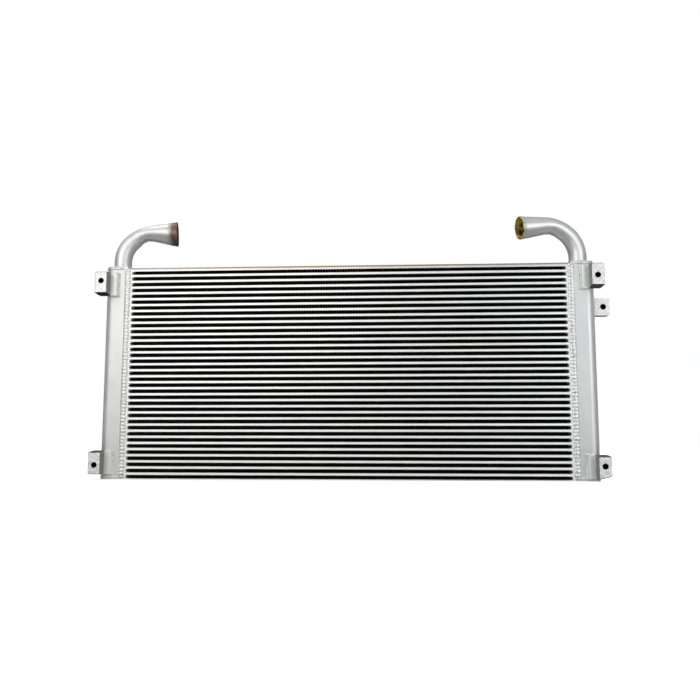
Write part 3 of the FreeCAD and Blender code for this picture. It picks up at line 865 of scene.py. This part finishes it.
# Where the inside of each pipe's bend is pressed in, from the mouth, how deep, and how much the
# outside is flattened.
KINKS = {"left": (70 * MM, 6 * MM, 2 * MM), "right": (74 * MM, 3 * MM, 1.5 * MM)}
# How far the pressed-in part reaches towards the mouth and towards the riser.
KINK_REACH = (52 * MM, 26 * MM)
# The flattened part's distance from the kink, and its reach.
FLAT_PLACE = 14 * MM
FLAT_REACH = 34 * MM
# Depth of the wrinkles, their spacing divided by 2 pi, and their reach.
WRINKLE_DEPTH = 0.5 * MM
WRINKLE_RADIAN = 2.6 * MM
WRINKLE_REACH = 20 * MM


def pipe_route(side):
    """Points on a pipe's axis, the ways inwards at each and sideways, and each point's way to the mouth."""
    mount = MOUNTS[f"{side}_hose_end"]
    low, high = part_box(f"{side}_pipe_weld")
    foot = np.array([(low.x + high.x) / 2, (low.y + high.y) / 2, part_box(f"{side}_pipe")[0].z])
    axis = np.array(mount["axis"])
    axis /= np.linalg.norm(axis)
    end = np.array(mount["pos_m"]) + axis * mount["dims"]["length_mm"] / 2 * MM
    flat = np.linalg.norm(axis[:2])
    reach = np.linalg.norm(end[:2] - foot[:2]) / flat
    corner = end - axis * reach
    up = np.array([0.0, 0.0, 1.0])
    bend = math.acos(axis[2])
    tangent = BEND_RADIUS * math.tan(bend / 2)
    leg = corner + axis * tangent
    ahead = np.array([axis[0] / flat, axis[1] / flat, 0.0])
    start = corner - up * tangent
    centre = start + ahead * BEND_RADIUS
    points, inward = [], []
    for z in np.linspace(foot[2], start[2], 12, endpoint=False):
        points.append((foot[0], foot[1], z))
        inward.append(ahead)
    for angle in np.linspace(0, bend, 64):
        out = -ahead * math.cos(angle) + up * math.sin(angle)
        points.append(centre + out * BEND_RADIUS)
        inward.append(-out)
    for share in np.linspace(0, 1, 60)[1:]:
        points.append(leg + (end - leg) * share)
        inward.append(inward[-1])
    points, inward = np.array(points), np.array(inward)
    steps = np.linalg.norm(np.diff(points, axis=0), axis=1)
    to_mouth = np.concatenate([np.cumsum(steps[::-1])[::-1], [0.0]])
    sideways = np.cross(ahead, up)
    return points, inward, sideways, to_mouth


def pipe_radius(side, to_mouth):
    """Outer radius: the pipe, the long cone that it widens in, and the cone's slightly raised lip."""
    low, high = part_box(f"{side}_pipe_weld")
    narrow = (high.x - low.x) / 2 - (high.z - low.z)
    length, wide = CONES[side]
    grown = np.logaddexp(0.0, (wide - narrow) * (1 - to_mouth / length) / CONE_SOFTNESS)
    lip = np.exp(-(((to_mouth - LIP_PLACE) / LIP_WIDTH) ** 2))
    return narrow + CONE_SOFTNESS * grown + LIP_RISE * lip


def add_pipe(side):
    """A bent pipe, pressed in and wrinkled inside its bend, with a rounded lip and a stained bore, darkened
    as painted shade in the left pipe.
    """
    points, inward, sideways, to_mouth = pipe_route(side)
    radius = pipe_radius(side, to_mouth)
    kink_at, kink_depth, flattening = KINKS[side]
    angles = np.linspace(0, 2 * math.pi, PIPE_COLUMNS, endpoint=False)
    turned = (angles + math.pi) % (2 * math.pi) - math.pi
    inner_side = np.exp(-((turned / 0.95) ** 2))
    outer_side = inner_side[(np.arange(PIPE_COLUMNS) + PIPE_COLUMNS // 2) % PIPE_COLUMNS]
    away = to_mouth - kink_at
    reach = np.where(away < 0, *KINK_REACH)
    belly = np.clip(1.08 - np.sqrt((away / reach) ** 2 + 0.08**2), 0.0, 1.0)
    bend = np.exp(-(((away - FLAT_PLACE) / FLAT_REACH) ** 2))
    wrinkles = np.exp(-((away / WRINKLE_REACH) ** 2)) * np.cos(away / WRINKLE_RADIAN)
    press = kink_depth * belly[:, None] * inner_side + flattening * bend[:, None] * outer_side
    fold = WRINKLE_DEPTH * wrinkles[:, None] * inner_side
    swell = 0.3 * kink_depth * belly[:, None] * np.sin(np.abs(turned)) ** 2
    outside = radius[:, None] - press - fold + swell

    def ring(at, size):
        way = inward[at][:, None, :] * np.cos(angles)[None, :, None]
        way = way + sideways * np.sin(angles)[None, :, None]
        return points[at][:, None, :] + way * size[:, :, None]

    rows = np.arange(len(points))
    skin = ring(rows, outside)
    bore = ring(rows[::-1], (outside - PIPE_WALL)[::-1])
    axis = points[-1] - points[-2]
    axis /= np.linalg.norm(axis)
    lip = []
    for t in np.linspace(0, math.pi, 7)[1:-1]:
        size = outside[-1:] - PIPE_WALL / 2 + PIPE_WALL / 2 * math.cos(t)
        lip.append(ring(rows[-1:], size)[0] + axis * PIPE_WALL / 2 * math.sin(t))
    grid = np.concatenate([skin, np.array(lip), bore], axis=0)
    faces = grid_faces(len(grid), PIPE_COLUMNS, wrap_rows=True, wrap_columns=True)
    finish_of = np.zeros((len(grid), PIPE_COLUMNS), int)
    finish_of[len(skin) - 1 :] = 1
    finishes = [PIPES[side], MOUTHS[side]]
    name, node = f"{side}_pipe_bent", f"{side}_pipe"
    add_piece(name, grid.reshape(-1, 3), faces, finishes, [node], finish_of.ravel())


paint_nodes()
add_air_fins()
add_core_welds()
add_pipe_welds()
add_lug_welds()
add_tab_weld()
add_cap_seams()
for side, _ in SIDES:
    add_pipe(side)


# Floor

# The floor reaches FLOOR_REACH from the middle, and clears between the two distances of FLOOR_CLEARS.
FLOOR_GAP = 0.2 * MM
FLOOR_REACH = 2.7
FLOOR_CLEARS = (1.1, 2.6)


def floor_finish():
    """Matt white that clears into the white backdrop far from the object."""
    finish = Finish("floor", 0.0, 0.8)
    finish.colour((0.93, 0.93, 0.925, 1.0))
    finish.shader.inputs["Emission Color"].default_value = (*WHITE, 1.0)
    finish.shader.inputs["Emission Strength"].default_value = 0.50
    distance = finish.hypotenuse(finish.axis("X"), finish.axis("Y"))
    clear = finish.node("ShaderNodeBsdfTransparent")
    mix = finish.node("ShaderNodeMixShader")
    finish.feed(mix.inputs[0], finish.remap(distance, *FLOOR_CLEARS, 0.0, 1.0))
    finish.feed(mix.inputs[1], finish.shader.outputs[0])
    finish.feed(mix.inputs[2], clear.outputs[0])
    finish.feed(finish.tree.nodes["Material Output"].inputs["Surface"], mix.outputs[0])
    return finish.material


def add_floor():
    mesh = bpy.data.meshes.new("floor")
    reach, z = FLOOR_REACH, CAD_BOX[0].z - FLOOR_GAP
    corners = [(-reach, -reach, z), (reach, -reach, z), (reach, reach, z), (-reach, reach, z)]
    mesh.from_pydata(corners, [], [(0, 1, 2, 3)])
    mesh.materials.append(floor_finish())
    floor = bpy.data.objects.new("floor", mesh)
    bpy.context.scene.collection.objects.link(floor)
    floor.visible_glossy = False


add_floor()
